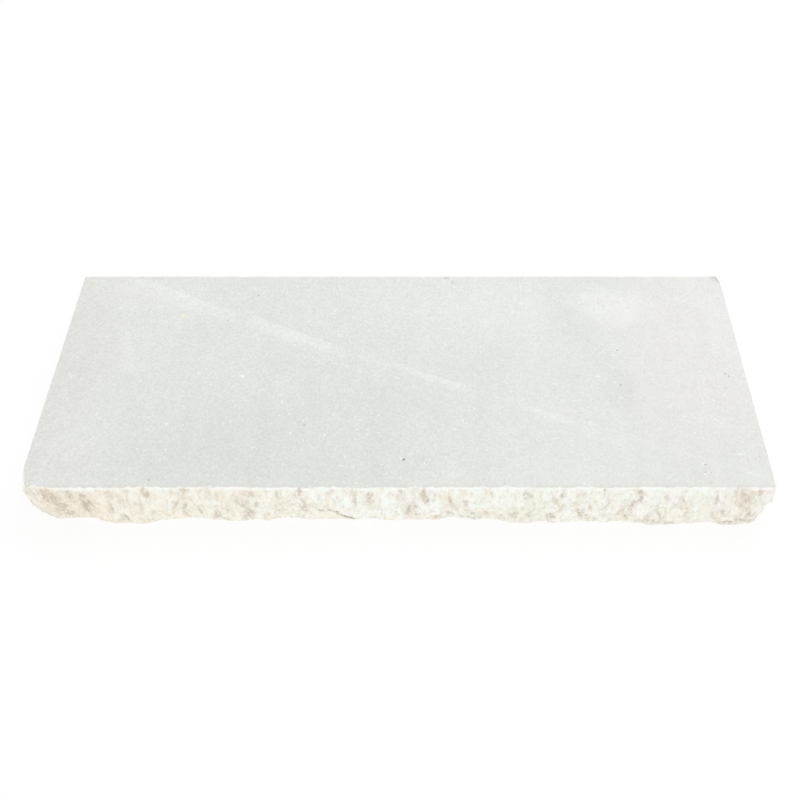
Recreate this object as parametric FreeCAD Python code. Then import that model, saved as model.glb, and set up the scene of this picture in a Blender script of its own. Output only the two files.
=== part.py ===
"""Wall coping stone: one slab of pale limestone, sawn on five sides and rock-pitched along the front.

Lengths are in millimetres. +X runs along the wall, +Y from the pitched face to the sawn back, +Z up.
The origin is the middle of the sawn bed, below the middle of the sawn top.
"""
import FreeCAD, Part
import math
import os

from FreeCAD import Vector

# Sawn slab
LENGTH = 600.0
DEPTH = 250.0  # from the sawn back to the pitch line, which is the front edge of the top
THICKNESS = 50.0

# Rock-pitched front, measured forwards from the upright plane through the pitch line
BROW_PROUD = 3.5  # how far the break swells out under the pitch line
BROW_DROP = 7.0  # depth of that swell below the top
BELLY_PROUD = 3.0
BELLY_LEVEL = 0.48  # height above the bed, as a share of the thickness
TOE_PROUD = 1.0  # at the bed, where no flake has come off
TOE_ROUGHNESS = 0.35  # share of the roughness that is left at the bed
FACET = 5.0  # size of the smallest facets of the break
FACET_JITTER = 0.3  # shift of each facet's corner, as a share of the facet
PITCH_LINE_WAVER = 0.4

# Roughness of the break: wavelength along the stone and depth of each order of relief
SWELLS = (42.0, 1.3)
LUMPS = (17.0, 1.0)
CRAGS = (7.0, 0.9)

# Flakes that came off the break, each a shallow dish. Those centred on the bed broke the toe away.
# Place along the stone and height above the bed, as shares of the length and the thickness,
# then the width, height and depth of the dish.
FLAKES = (
    (0.067, 0.00, 58.0, 90.0, 8.4),
    (0.150, 0.68, 34.0, 26.0, 2.6),
    (0.125, 0.00, 30.0, 30.0, 2.6),
    (0.216, 0.00, 84.0, 68.0, 7.2),
    (0.243, 0.80, 16.0, 14.0, 2.4),
    (0.303, 0.00, 26.0, 60.0, 6.2),
    (0.353, 0.00, 40.0, 72.0, 7.8),
    (0.398, 0.00, 34.0, 40.0, 6.4),
    (0.403, 0.60, 30.0, 34.0, 2.8),
    (0.413, 0.00, 330.0, 56.0, 5.0),
    (0.462, 0.00, 26.0, 52.0, 6.6),
    (0.517, 0.00, 26.0, 70.0, 6.1),
    (0.545, 0.74, 18.0, 26.0, 3.6),
    (0.575, 0.00, 36.0, 60.0, 7.6),
    (0.618, 0.00, 40.0, 48.0, 6.8),
    (0.698, 0.00, 26.0, 56.0, 4.0),
    (0.740, 0.48, 30.0, 30.0, 2.4),
    (0.772, 0.00, 84.0, 64.0, 4.0),
    (0.812, 0.68, 20.0, 30.0, 3.0),
    (0.868, 0.40, 26.0, 26.0, 2.4),
    (0.903, 0.00, 24.0, 30.0, 2.0),
    (0.927, 0.00, 16.0, 40.0, 2.4),
    (0.945, 0.56, 36.0, 40.0, 4.0),
)

# The break turns back at both ends of the stone: how far, and over what length of the face
LEFT_RETURN = 17.0
LEFT_RETURN_LENGTH = 30.0
RIGHT_RETURN = 12.0
RIGHT_RETURN_LENGTH = 12.0
LEFT_RETURN_AT_BROW = 0.3  # share of the return that is left at the brow
RIGHT_RETURN_AT_BROW = 0.0

# Corners spalled off the top: length along the end, along the long edge, and down
FRONT_LEFT_SPALL = (21.0, 5.0, 14.0)
BACK_RIGHT_SPALL = (9.0, 2.5, 6.0)

# Each use of the fixed noise has its own seed
SWELL_SEED, LUMP_SEED, CRAG_SEED = 0, 1, 2
PITCH_LINE_SEED = 3
JITTER_ALONG_SEED, JITTER_UP_SEED = 4, 5

NODE = "coping_stone"


def lattice_value(column, row, seed):
    """A number from -1 to 1 for a point of a lattice, always the same for the same point."""
    scrambled = math.sin(column * 127.1 + row * 311.7 + seed * 74.7) * 43758.5453
    return 2.0 * (scrambled - math.floor(scrambled)) - 1.0


def smooth_noise(across, up, seed):
    """Lattice values joined smoothly, from -1 to 1."""
    column, row = math.floor(across), math.floor(up)
    u, v = across - column, up - row
    u, v = u * u * (3.0 - 2.0 * u), v * v * (3.0 - 2.0 * v)
    low = lattice_value(column, row, seed) * (1.0 - u) + lattice_value(column + 1, row, seed) * u
    high = lattice_value(column, row + 1, seed) * (1.0 - u) + lattice_value(column + 1, row + 1, seed) * u
    return low * (1.0 - v) + high * v


def relief(x, z):
    """Roughness of the break: three orders of relief, in millimetres."""
    orders = ((SWELLS, SWELL_SEED), (LUMPS, LUMP_SEED), (CRAGS, CRAG_SEED))
    return sum(depth * smooth_noise(x / wave, z / wave, seed) for (wave, depth), seed in orders)


def swell_of_break(z):
    """Section of the break without its roughness: pitch line, brow, belly and toe joined up."""
    section = sorted((
        (0.0, TOE_PROUD),
        (THICKNESS * BELLY_LEVEL, BELLY_PROUD),
        (THICKNESS - BROW_DROP, BROW_PROUD),
        (THICKNESS, 0.0),
    ))
    for (low, proud_low), (high, proud_high) in zip(section, section[1:]):
        if z <= high:
            return proud_low + (proud_high - proud_low) * (z - low) / (high - low)
    return 0.0


def flake_depth(x, z):
    """Depth of the deepest flake scar at a point of the break."""
    deepest = 0.0
    for place, level, width, height, depth in FLAKES:
        across = (x - (place - 0.5) * LENGTH) / (width / 2.0)
        up = (z - level * THICKNESS) / (height / 2.0)
        deepest = max(deepest, depth * (1.0 - across * across - up * up))
    return deepest


def return_depth(x, z):
    """How far the break turns back near the ends of the stone."""
    brow_height = THICKNESS - BROW_DROP
    rise = min(z / brow_height, 1.0)
    left = max(0.0, 1.0 - (x + LENGTH / 2.0) / LEFT_RETURN_LENGTH)
    right = max(0.0, 1.0 - (LENGTH / 2.0 - x) / RIGHT_RETURN_LENGTH)
    left_share = 1.0 + (LEFT_RETURN_AT_BROW - 1.0) * rise
    right_share = 1.0 + (RIGHT_RETURN_AT_BROW - 1.0) * rise
    return LEFT_RETURN * left * left * left_share + RIGHT_RETURN * right * right * right_share


def proud_of_pitch_line(x, z):
    """Distance that the break stands in front of the pitch line."""
    fade = min(1.0, (THICKNESS - z) / BROW_DROP)  # the pitch line itself is struck straight
    roughness = TOE_ROUGHNESS + (1.0 - TOE_ROUGHNESS) * min(1.0, z / (THICKNESS * BELLY_LEVEL))
    body = swell_of_break(z) + roughness * relief(x, z) - flake_depth(x, z) - return_depth(x, z)
    return fade * body + (1.0 - fade) * PITCH_LINE_WAVER * smooth_noise(x / FACET, 0.0, PITCH_LINE_SEED)


def break_points():
    """Corners of the facets, by column along the stone and row up from the bed."""
    columns = max(2, round(LENGTH / FACET))
    rows = max(2, round(THICKNESS / FACET))
    grid = []
    for i in range(columns + 1):
        column = []
        for j in range(rows + 1):
            x = -LENGTH / 2.0 + i * LENGTH / columns
            z = j * THICKNESS / rows
            if 0 < i < columns:
                x += FACET_JITTER * FACET * lattice_value(i, j, JITTER_ALONG_SEED)
            if 0 < j < rows:
                z += FACET_JITTER * FACET * lattice_value(i, j, JITTER_UP_SEED)
            column.append(Vector(x, -DEPTH / 2.0 - proud_of_pitch_line(x, z), z))
        grid.append(column)
    return grid


def flat_face(corners):
    """A flat face round a closed run of corners."""
    return Part.Face(Part.makePolygon(corners + corners[:1]))


def break_facets(grid):
    """Triangles between the points of the break, each cell split along its shorter diagonal."""
    facets = []
    for left, right in zip(grid, grid[1:]):
        for j in range(len(left) - 1):
            a, b, c, d = left[j], right[j], right[j + 1], left[j + 1]
            if a.distanceToPoint(c) < b.distanceToPoint(d):
                facets += [flat_face([a, b, c]), flat_face([a, c, d])]
            else:
                facets += [flat_face([a, b, d]), flat_face([b, c, d])]
    return facets


def slab_with_break():
    """The sawn slab, closed at the front by the facets of the break."""
    grid = break_points()
    back, half = DEPTH / 2.0, LENGTH / 2.0
    bed_left, bed_right = Vector(-half, back, 0), Vector(half, back, 0)
    top_left, top_right = Vector(-half, back, THICKNESS), Vector(half, back, THICKNESS)
    toe = [column[0] for column in grid]
    pitch_line = [column[-1] for column in grid]
    sawn = [
        flat_face([bed_left] + toe + [bed_right]),
        flat_face([top_left] + pitch_line + [top_right]),
        flat_face([bed_left] + grid[0] + [top_left]),
        flat_face([bed_right] + grid[-1] + [top_right]),
        flat_face([bed_left, bed_right, top_right, top_left]),
    ]
    shell = Part.Shell(sawn + break_facets(grid))
    shell.sewShape()
    solid = Part.Solid(shell)
    if solid.Volume < 0:
        solid.reverse()
    return solid


def top_corner_spall(corner_x, corner_y, sizes):
    """The stone that a knock takes off one top corner: all that lies beyond a slanting plane."""
    along_end, along_edge, down = sizes
    corner = Vector(corner_x, corner_y, THICKNESS)
    on_edge = corner + Vector(-math.copysign(along_edge, corner_x), 0, 0)
    on_end = corner + Vector(0, -math.copysign(along_end, corner_y), 0)
    below = corner + Vector(0, 0, -down)
    outwards = (on_end - on_edge).cross(below - on_edge)
    if outwards.dot(corner - on_edge) < 0:
        outwards = -outwards
    side = 2.0 * max(sizes)  # wide enough to clear the corner
    spall = Part.makeBox(side, side, side, Vector(-side / 2.0, -side / 2.0, 0))
    middle = (on_edge + on_end + below) / 3.0
    spall.Placement = FreeCAD.Placement(middle, FreeCAD.Rotation(Vector(0, 0, 1), outwards))
    return spall


def coping_stone():
    """The whole stone, with its top corners spalled."""
    half, back = LENGTH / 2.0, DEPTH / 2.0
    stone = slab_with_break()
    for x, y, sizes in ((-half, -back, FRONT_LEFT_SPALL), (half, back, BACK_RIGHT_SPALL)):
        stone = stone.cut(top_corner_spall(x, y, sizes))
    return stone


def main():
    os.makedirs("parts", exist_ok=True)
    stone = coping_stone()
    box = stone.BoundBox
    print(f"{NODE}: {box.XLength:.1f} x {box.YLength:.1f} x {box.ZLength:.1f} mm, front at {box.YMin:.2f}")
    print(f"{len(stone.Solids)} solid, {len(stone.Faces)} faces, valid {stone.isValid()}")
    print(f"{stone.Volume / 1e6:.3f} litres")
    stone.Solids[0].exportStep(f"parts/{NODE}.step")


main()
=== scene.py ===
"""Looks of the wall coping stone: its broken front, sawn faces, limestone and a plain studio.

Sizes are written in millimetres and turned into metres where meshes and nodes are made.
The axes are the model's: +X along the stone, -Y towards its broken front, +Z up, bed at z = 0.
"""
import math

import bmesh
import bpy
import numpy as np
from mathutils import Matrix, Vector
from mathutils.bvhtree import BVHTree
from mathutils.geometry import delaunay_2d_cdt


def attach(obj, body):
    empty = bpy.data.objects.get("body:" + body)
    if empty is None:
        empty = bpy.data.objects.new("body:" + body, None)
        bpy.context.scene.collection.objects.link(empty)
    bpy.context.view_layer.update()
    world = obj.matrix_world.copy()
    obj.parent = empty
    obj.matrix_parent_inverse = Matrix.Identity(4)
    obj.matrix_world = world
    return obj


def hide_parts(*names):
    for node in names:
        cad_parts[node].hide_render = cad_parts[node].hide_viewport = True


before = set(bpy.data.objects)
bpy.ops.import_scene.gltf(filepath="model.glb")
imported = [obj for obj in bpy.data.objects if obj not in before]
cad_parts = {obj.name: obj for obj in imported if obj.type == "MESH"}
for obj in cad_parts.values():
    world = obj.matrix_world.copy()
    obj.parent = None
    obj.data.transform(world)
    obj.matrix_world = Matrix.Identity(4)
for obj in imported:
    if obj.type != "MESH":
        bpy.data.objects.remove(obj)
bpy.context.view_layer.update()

MM = 0.001
NODE = "coping_stone"

# The sawn slab, in the model's millimetres
HALF = 300.0  # half the length
PITCH_LINE = -125.0  # y of the front edge of the top
BACK = 125.0
TOP = 50.0

# Mesh of the break
COLUMN_STEP = 0.8
ROW_STEP = 0.8
ARRIS_ROWS = (0.4, 0.9, 1.5, 2.2)  # closer rows just below the top edge

# The model's facets are shifted by a soft noise, of this size and reach, and blurred
WARP = (9.0, 1.6)
WARP_FADES = (4.0, 2.0, 4.0)  # the shift dies out at the struck edge, the bed and the ends
BASE_SOFTENING = 2.8
TOE_SOFTENING = 1.2  # the toe keeps the model's outline
TOE_HEIGHTS = (1.0, 6.0)  # one softening gives way to the other between these heights
UNSOFTENED_EDGE = 1.5  # the struck edge is the model's own, down to here

# Relief on top of the facets: size of a chip and its depth
LARGE_CHIPS = (11.0, 0.6)
SMALL_CHIPS = (4.0, 0.3)
GRAIN_RELIEF = (1.8, 0.25)
RELIEF_STRETCH = 1.5  # the blow ran downwards, so chips are longer that way
TOE_RELIEF = 0.5  # share of the relief that is left at the bed
TOE_RELIEF_HEIGHT = 8.0  # where the relief is whole again
RELIEF_FADE = (0.2, 4.0)  # it dies out between these depths below the struck edge
PATCH_END = 1.25  # a patch fades out at this many times its half size
RAGGED_EDGES = ((4.0, 0.35), (1.9, 0.25))  # how its outline wavers there: size and strength
HOLLOW_REACH = 3.0  # a place is hollow where it lies deeper than the stone this far round it
HOLLOW_FULL = 0.9  # how much deeper the hollowest places lie

# Hollows of the break, darker and browner than the rest:
# place along the stone, height above the bed, width, length, lean in degrees, strength
HOLLOWS = (
    (-290, 43, 5, 9, -50, 0.7), (-282, 45, 5, 9, -15, 0.9), (-281, 37, 7, 18, -25, 1.0),
    (-275, 38, 10, 15, -20, 1.1), (-276, 27, 6, 18, 5, 1.1), (-271, 21, 6, 18, -10, 0.95),
    (-278, 15, 5, 13, 0, 0.85), (-274, 12, 7, 22, 5, 1.15), (-271, 7, 9, 13, -10, 1.0),
    (-263, 45, 6, 11, -50, 0.75), (-262, 37, 6, 17, 10, 1.1), (-255, 32, 6, 18, -5, 1.0),
    (-251, 39, 7, 17, 5, 1.4), (-249, 26, 5, 19, 5, 1.1), (-255, 16, 7, 19, 5, 1.5),
    (-255, 7, 5, 11, -5, 1.1), (-228, 44, 10, 10, 0, 0.45), (-231, 24, 5, 17, 5, 1.0),
    (-215, 44, 8, 9, 0, 0.35), (-222, 8, 5, 13, -25, 1.2), (-203, 4, 4, 11, -30, 0.7),
    (-200, 43, 6, 13, -10, 1.1), (-178, 28, 4, 28, 20, 0.7), (-173, 20, 4, 26, 15, 0.8),
    (-169, 45, 12, 8, 0, 0.5), (-164, 33, 2.5, 26, -5, 0.6), (-162, 13, 3.5, 22, -5, 0.7),
    (-148, 9, 8, 17, 0, 0.9), (-144, 3, 3, 11, -60, 0.9), (-138, 23, 4, 27, 10, 0.6),
    (-127, 37, 4, 12, -5, 0.7), (-124, 29, 6, 14, -5, 1.1), (-122, 12, 9, 20, 0, 0.9),
    (-118, 43, 14, 10, 0, 0.6), (-121, 35, 8, 9, 20, 0.5), (-113, 32, 4, 18, 10, 0.8),
    (-96, 44, 4, 11, 0, 0.7), (-81, 40, 4, 15, 0, 0.7), (-77, 44, 4, 12, 0, 1.0),
    (-75, 31, 4, 18, -10, 0.8), (-76, 21, 7, 17, -10, 1.2), (-35, 45, 6, 8, -5, 0.6),
    (-34, 31, 3.5, 29, 0, 0.7), (-22, 40, 7, 17, 0, 0.7), (2, 46, 4, 9, 10, 0.7),
    (11, 17, 14, 36, 5, 0.5), (14, 27, 4, 17, -10, 0.8), (9, 19, 4, 15, 10, 0.9),
    (8, 9, 4, 12, 5, 0.8), (21, 43, 5.5, 12, 0, 1.35), (23, 34, 5, 16, -10, 1.4),
    (31, 4, 6, 7, -35, 0.9), (42, 35, 4.5, 12, -5, 1.0), (55, 30, 4, 22, -10, 0.8),
    (61, 11, 4, 15, -10, 0.9), (60, 3, 3, 13, -85, 0.8), (94, 14, 8, 14, 0, 0.8),
    (102, 42, 4, 14, 0, 0.7), (106, 42, 4, 7, -15, 1.0), (107, 15, 5, 11, 0, 0.9),
    (125, 11, 7, 14, 5, 1.3), (131, 43, 3.5, 9, 10, 1.0), (127, 36, 3.5, 9, -5, 0.9),
    (147, 17, 4, 16, -25, 1.1), (149, 13, 6, 18, 0, 1.3), (155, 26, 3.5, 19, -15, 0.8),
    (156, 6, 6, 11, -5, 0.4), (164, 48, 4, 5, -5, 0.8), (168.5, 29, 3, 26, 20, 0.55),
    (182, 20, 4, 22, 20, 0.6), (186, 9, 4, 11, -15, 1.0), (188, 17, 10, 16, 5, 0.45),
    (189, 26, 6, 19, 20, 0.7), (194, 40, 4, 17, -5, 1.1), (209, 25, 4, 14, 0, 0.7),
    (204, 12, 9, 15, -10, 0.6), (213, 14, 4, 18, -25, 0.9), (215, 39, 3.5, 8, -5, 0.8),
    (227, 37, 4.5, 9, -10, 0.9), (235, 15, 5, 18, -5, 0.7), (255, 38, 4, 11, -10, 0.9),
    (255, 31, 4, 10, 0, 0.7), (265, 15, 6, 10, -15, 1.0), (257, 11, 14, 13, 0, 0.4),
    (273, 45, 8, 12, -40, 0.6), (276, 41, 15, 18, -20, 0.6), (278, 35, 7, 16, -20, 1.1),
    (276, 27, 5, 11, -30, 0.8), (285, 18, 7, 17, -25, 1.0), (270, 4, 6, 12, -85, 1.15),
    (282, 6, 6, 17, -80, 1.25), (212, 4, 28, 9, 0, 0.75), (264, 4, 10, 8, 0, 0.6),
    (282, 13, 15, 15, 0, 0.6),
)
HOLLOW_DEPTH = 0.7  # of a hollow of strength 1

# Fainter, narrower hollows strewn over the whole break, with the least and most of each value
STRAY_HOLLOWS = 70
STRAY_LEAST = (-HALF, 2.0, 3.0, 7.0, -15.0, 0.25)
STRAY_MOST = (HALF, TOP - 2.0, 4.5, 18.0, 12.0, 0.55)

# Patches of crushed, whiter stone: place along the stone, height, width, length, lean
BRUISES = (
    (-268, 48, 5, 9, -70), (-231, 13, 9, 16, 0), (-223, 23, 8, 20, 15), (-185, 23, 6, 33, 10),
    (-152, 24, 5, 24, 15), (-110, 18, 9, 30, 10), (-68, 35, 10, 26, 5), (-60, 37, 7, 24, 0),
    (-46, 33, 17, 30, 5), (-38, 24, 8, 35, 0), (-30, 23, 8, 45, 5), (-26, 10, 20, 18, 0),
    (-7, 26, 13, 41, -5), (-2, 18, 9, 28, 0), (12, 43, 8, 14, 5), (30, 26, 10, 37, -10),
    (48, 42, 7, 14, -5), (64, 31, 8, 36, 0), (74, 32, 12, 37, 0), (87, 38, 7, 20, 0),
    (121, 33, 10, 33, 0), (139, 17, 7, 32, -10), (163.5, 33, 8, 28, 20), (175, 28, 9, 42, 20),
    (188, 34, 6, 24, 20), (205, 42, 18, 19, -15), (200, 21, 7, 12, -15), (233, 44, 15, 13, -20),
    (238, 35, 6, 18, -10), (245, 44, 20, 13, -5), (290, 32, 8, 28, -15),
)

# Patches that split smoothly, with few chips and stains: the same values
SMOOTH_PATCHES = ((-290, 21, 8, 20, -50), (-236, 32, 9, 15, -10), (249, 22, 13, 26, 0), (271, 20, 9, 16, 0))
SMOOTH_RELIEF, SMOOTH_STAIN = 0.4, 0.2  # shares of the relief and the stain that are left there

# A crack that runs down to the bed, with a thin sliver of stone under it. It gapes in places:
# place along the stone, height, half its width there, strength
CRACK = (
    (-74, 26.5, 0.7, 0.25), (-69, 23.5, 0.8, 0.35), (-65, 18.5, 0.8, 0.45), (-62.5, 17, 2.3, 0.90),
    (-60, 16.5, 2.1, 0.85), (-57.5, 17, 0.9, 0.35), (-54.5, 19, 2.3, 0.90), (-52, 17, 1.3, 0.75),
    (-50, 13, 1.9, 0.95), (-47, 8, 1.0, 0.45), (-43.5, 3, 2.0, 1.15), (-40, 2, 2.0, 1.15),
    (-36.5, 1, 1.5, 0.80), (-35, 0.3, 0.9, 0.60),
)
CRACK_DEPTH = 1.6
# The crack's value among the stains, which the material paints over with dark crack shade
CRACK_SHADE_LEVEL = 1.5
CRACK_STEEPNESS = 1.4  # of its sides, so that its floor is flat
CRACK_WANDER = (3.0, 0.8, 1.2)  # size of its small bends, and how far they reach along and up
SLIVER_RELIEF = 0.2  # share of the relief that is left on the sliver
SLIVER_PROUD = 0.6
SLIVER_EDGE, SLIVER_START = 2.0, (-2.0, 12.0)  # it sets in within this, down and along the crack

# The corner spalled off the top at the left is plain and white. It gives way to the rest
# between these distances along the stone and down
SPALL_ALONG = (2.0, 5.5)
SPALL_DOWN = (5.0, 12.0)
SPALL_RELIEF = 0.2
SCAR_AND_LIGHT_LEVEL = 2.0  # its bruise value, so that it is whiter than any bruise: partly the scar's own colour, partly painted light for its facet that faces away from the lamps

# Shallow flakes off the toe and the right end, and the high places between them:
# place along the stone, height, width, height across, how far back, or forwards where it is below 0
TRIMS = (
    (-289.5, 0, 14, 20, 2.4), (-244, 0, 12, 20, -1.4), (-163, 0, 10, 16, -1.0), (-101, 0, 14, 20, 1.5),
    (-46, 0, 28, 20, 2.2), (-28.5, 0, 10, 16, 1.2), (11, 0, 10, 16, -1.2), (26, 0, 20, 16, 0.9),
    (56, 0, 14, 16, 1.1), (94, 0, 46, 24, 1.6), (136, 0, 18, 16, 1.0), (170, 0, 10, 16, -1.0),
    (183, 0, 22, 16, 1.0), (200, 0, 10, 16, 1.8), (227, 0, 14, 16, 1.5), (250, 0, 18, 16, 0.9),
    (285, 0, 20, 20, 1.5), (301, 20, 12, 28, 3.0),
)

# Chips out of the front edge of the top: place along the stone, length, how far back
ARRIS_CHIPS = (
    (-298, 10, 2.0), (-288, 14, 1.0), (-204, 10, 0.7), (-149, 7, 1.9),
    (-92, 6, 0.5), (14, 6, 2.0), (21, 6, 0.7), (85, 8, 0.8),
    (150, 9, 1.0), (222, 5, 0.5), (274, 16, 0.8),
)
CHIP_RAGGEDNESS = (1.8, 0.5)
ARRIS_WAVER = 0.6
ARRIS_WAVES = ((7.0, 0.9), (2.3, 1.4))  # the edge wavers in two sizes: wavelength and strength
ARRIS_PROUD = 0.35  # how far the ragged edge stands forwards of the pitch line on the whole
ARRIS_REACH = 3.5  # how far down the chips and wavers go
EDGE_WEAR = 0.55  # how far the other edges are rubbed in, times these shares
EVEN_WEAR = 0.35
WEAR_WAVER = (9.0, 0.3)  # size and strength
WEAR_NICKS = (5.0, 0.8, 0.35)  # size, strength, and how high the noise lies where there is a nick
WEAR_RANGE = (0.1, 1.4)  # the least and most of all that
BACK_RIGHT_CHIP = (9.0, 2.5, 6.0)  # along the end, along the back, down

# Pits in the sawn top: x, y, radius, depth
PITS = (
    (5.0, -97.0, 1.3, 1.3), (-78.5, -60.5, 0.9, 0.8), (-133.0, 99.0, 1.0, 0.8),
    (-157.0, 65.0, 0.8, 0.6), (192.0, 27.0, 0.9, 0.8), (190.0, -15.0, 0.9, 0.8),
    (282.5, -1.5, 0.9, 0.8), (285.0, -4.5, 0.9, 0.8), (-197.6, -118.0, 0.9, 0.8),
    (85.4, -121.1, 0.7, 0.4), (-149.5, -121.3, 0.8, 0.5), (247.7, -102.5, 0.8, 0.7),
    (246.5, -110.0, 0.9, 0.6), (251.0, -110.5, 0.6, 0.4), (41.3, 122.8, 1.2, 0.6),
    (43.8, 122.9, 1.1, 0.6),
)
STRAY_PITS = 26
STRAY_PIT_RADIUS, STRAY_PIT_DEPTH = (0.3, 0.6), (0.2, 0.4)
STRAY_PIT_MARGIN = 8.0  # how far they keep from the outline of the top
PIT_CLEARANCE = 2.2  # no other point of the top is nearer to a pit, in radii
PIT_RINGS = ((0.55, 0.75), (1.0, 0.0), (1.5, 0.0))  # share of the radius, and of the depth there
PIT_SIDES = 9
RAGGED_RING = (0.85, 1.15)  # the least and most of a ring's radius, as shares

# Mesh of the sawn faces
TOP_ROWS = (1.1, 1.35, 8.0)  # the gap at the struck edge, its growth from row to row, the widest gap
BED_GAP = 10.0
SIDE_GAP = 7.0
EDGE_GAP = 2.5
FACE_MARGIN = 3.0  # no inner point of the plain faces is nearer to their edges
TOP_MARGIN = 2.2  # nor is one of the top nearer to the ends
SLANT = 0.7  # share of the wear that goes each way at an edge
SHARP_ANGLE = 1.0  # radians between two triangles that are shaded apart

# Each use of the fixed noise has its own seed. Patches and wear take two each
WARP_SEEDS = (11, 12)
LARGE_CHIP_SEED, SMALL_CHIP_SEED, GRAIN_SEED = 21, 22, 23
CHIP_EDGE_SEED, FIRST_WAVER_SEED = 31, 32
CRACK_SEEDS = (34, 35)
CORNER_SEED = 41
FIRST_EDGE_SEED = 51
FIRST_HOLLOW_SEED, FIRST_BRUISE_SEED, FIRST_SMOOTH_SEED = 100, 600, 700
STRAY_HOLLOW_SEED, STRAY_PIT_SEED = 7, 5
NOISE_CELLS = 256  # the noise repeats after this many blotches


def noise(x, y, wave, seed):
    """Smooth noise from -1 to 1 over two coordinates."""
    table = np.random.default_rng(seed).uniform(-1.0, 1.0, (NOISE_CELLS, NOISE_CELLS))
    u, v = np.asarray(x) / wave, np.asarray(y) / wave
    i, j = np.floor(u).astype(int), np.floor(v).astype(int)
    a, b = u - i, v - j
    a, b = a * a * (3.0 - 2.0 * a), b * b * (3.0 - 2.0 * b)
    left, right = i % NOISE_CELLS, (i + 1) % NOISE_CELLS
    near, far = j % NOISE_CELLS, (j + 1) % NOISE_CELLS
    low = table[left, near] * (1.0 - a) + table[right, near] * a
    high = table[left, far] * (1.0 - a) + table[right, far] * a
    return low * (1.0 - b) + high * b


def dished_chips(x, y, size, depth, seed):
    """Shallow dishes that meet in sharp ridges, as where chips flew off. Its mean is zero."""
    dice = np.random.default_rng(seed)
    cells = (NOISE_CELLS, NOISE_CELLS)
    place = dice.uniform(0.1, 0.9, (*cells, 2))
    tilt = dice.normal(0.0, 0.35 * depth / size, (*cells, 2))
    rise = dice.uniform(-0.4 * depth, 0.4 * depth, cells)
    hollow = depth / (0.5 * size) ** 2
    i, j = np.floor(x / size).astype(int), np.floor(y / size).astype(int)
    lowest = np.full(x.shape, 1e9)
    for di in (-1, 0, 1):
        for dj in (-1, 0, 1):
            cell = ((i + di) % NOISE_CELLS, (j + dj) % NOISE_CELLS)
            dx = x - (i + di + place[cell][..., 0]) * size
            dy = y - (j + dj + place[cell][..., 1]) * size
            slope = tilt[cell]
            dish = rise[cell] + slope[..., 0] * dx + slope[..., 1] * dy + hollow * (dx * dx + dy * dy)
            lowest = np.minimum(lowest, dish)
    return lowest - lowest.mean()


def blur(values, reach):
    """Gaussian blur of a grid, with this reach in cells both ways."""
    half = int(3 * reach) + 1
    kernel = np.exp(-0.5 * (np.arange(-half, half + 1) / reach) ** 2)
    kernel /= kernel.sum()
    for axis in (0, 1):
        padded = np.pad(values, [(half, half) if a == axis else (0, 0) for a in (0, 1)], mode="edge")
        values = np.apply_along_axis(lambda line: np.convolve(line, kernel, mode="valid"), axis, padded)
    return values


def patch(x, z, at_x, at_z, width, height, lean, seed):
    """A ragged oval patch, 1 in its middle and 0 outside it."""
    turn = math.radians(lean)
    dx, dz = x - at_x, z - at_z
    across = (dx * math.cos(turn) - dz * math.sin(turn)) / (0.5 * width)
    along = (dx * math.sin(turn) + dz * math.cos(turn)) / (0.5 * height)
    ragged = sum(reach * noise(x, z, wave, seed + k) for k, (wave, reach) in enumerate(RAGGED_EDGES))
    return np.clip(PATCH_END - np.hypot(across, along) + ragged, 0.0, 1.0)


def stray_hollows():
    """Faint upright hollows at random places of the break."""
    dice = np.random.default_rng(STRAY_HOLLOW_SEED)
    return tuple(tuple(dice.uniform(STRAY_LEAST, STRAY_MOST)) for _ in range(STRAY_HOLLOWS))


def crack_opening(x, z):
    """How far the crack is open at each point: 1 in the middle of its widest places, 0 beside it."""
    opening = np.zeros(x.shape)
    for (x0, z0, half0, strength0), (x1, z1, half1, strength1) in zip(CRACK, CRACK[1:]):
        length = (x1 - x0) ** 2 + (z1 - z0) ** 2
        share = np.clip(((x - x0) * (x1 - x0) + (z - z0) * (z1 - z0)) / length, 0.0, 1.0)
        beside = np.hypot(x - x0 - share * (x1 - x0), z - z0 - share * (z1 - z0))
        half = half0 + (half1 - half0) * share
        strength = strength0 + (strength1 - strength0) * share
        opening = np.maximum(opening, strength * np.clip(CRACK_STEEPNESS * (1.0 - beside / half), 0.0, 1.0))
    return opening


def rays_onto_model(x, z):
    """y of the model's front surface at each point of a grid, in millimetres."""
    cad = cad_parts[NODE]
    tree = BVHTree.FromObject(cad, bpy.context.evaluated_depsgraph_get())
    found = np.empty(x.shape)
    inside = 0.05
    for index in np.ndindex(x.shape):
        at_x = min(max(x[index], -HALF + inside), HALF - inside)
        at_z = min(max(z[index], inside), TOP - inside)
        start = Vector((at_x * MM, 2.0 * PITCH_LINE * MM, at_z * MM))
        hit = tree.ray_cast(start, Vector((0.0, 1.0, 0.0)))[0]
        found[index] = hit.y / MM
    return found


def smooth_step(value, low, high):
    share = np.clip((value - low) / (high - low), 0.0, 1.0)
    return share * share * (3.0 - 2.0 * share)


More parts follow.
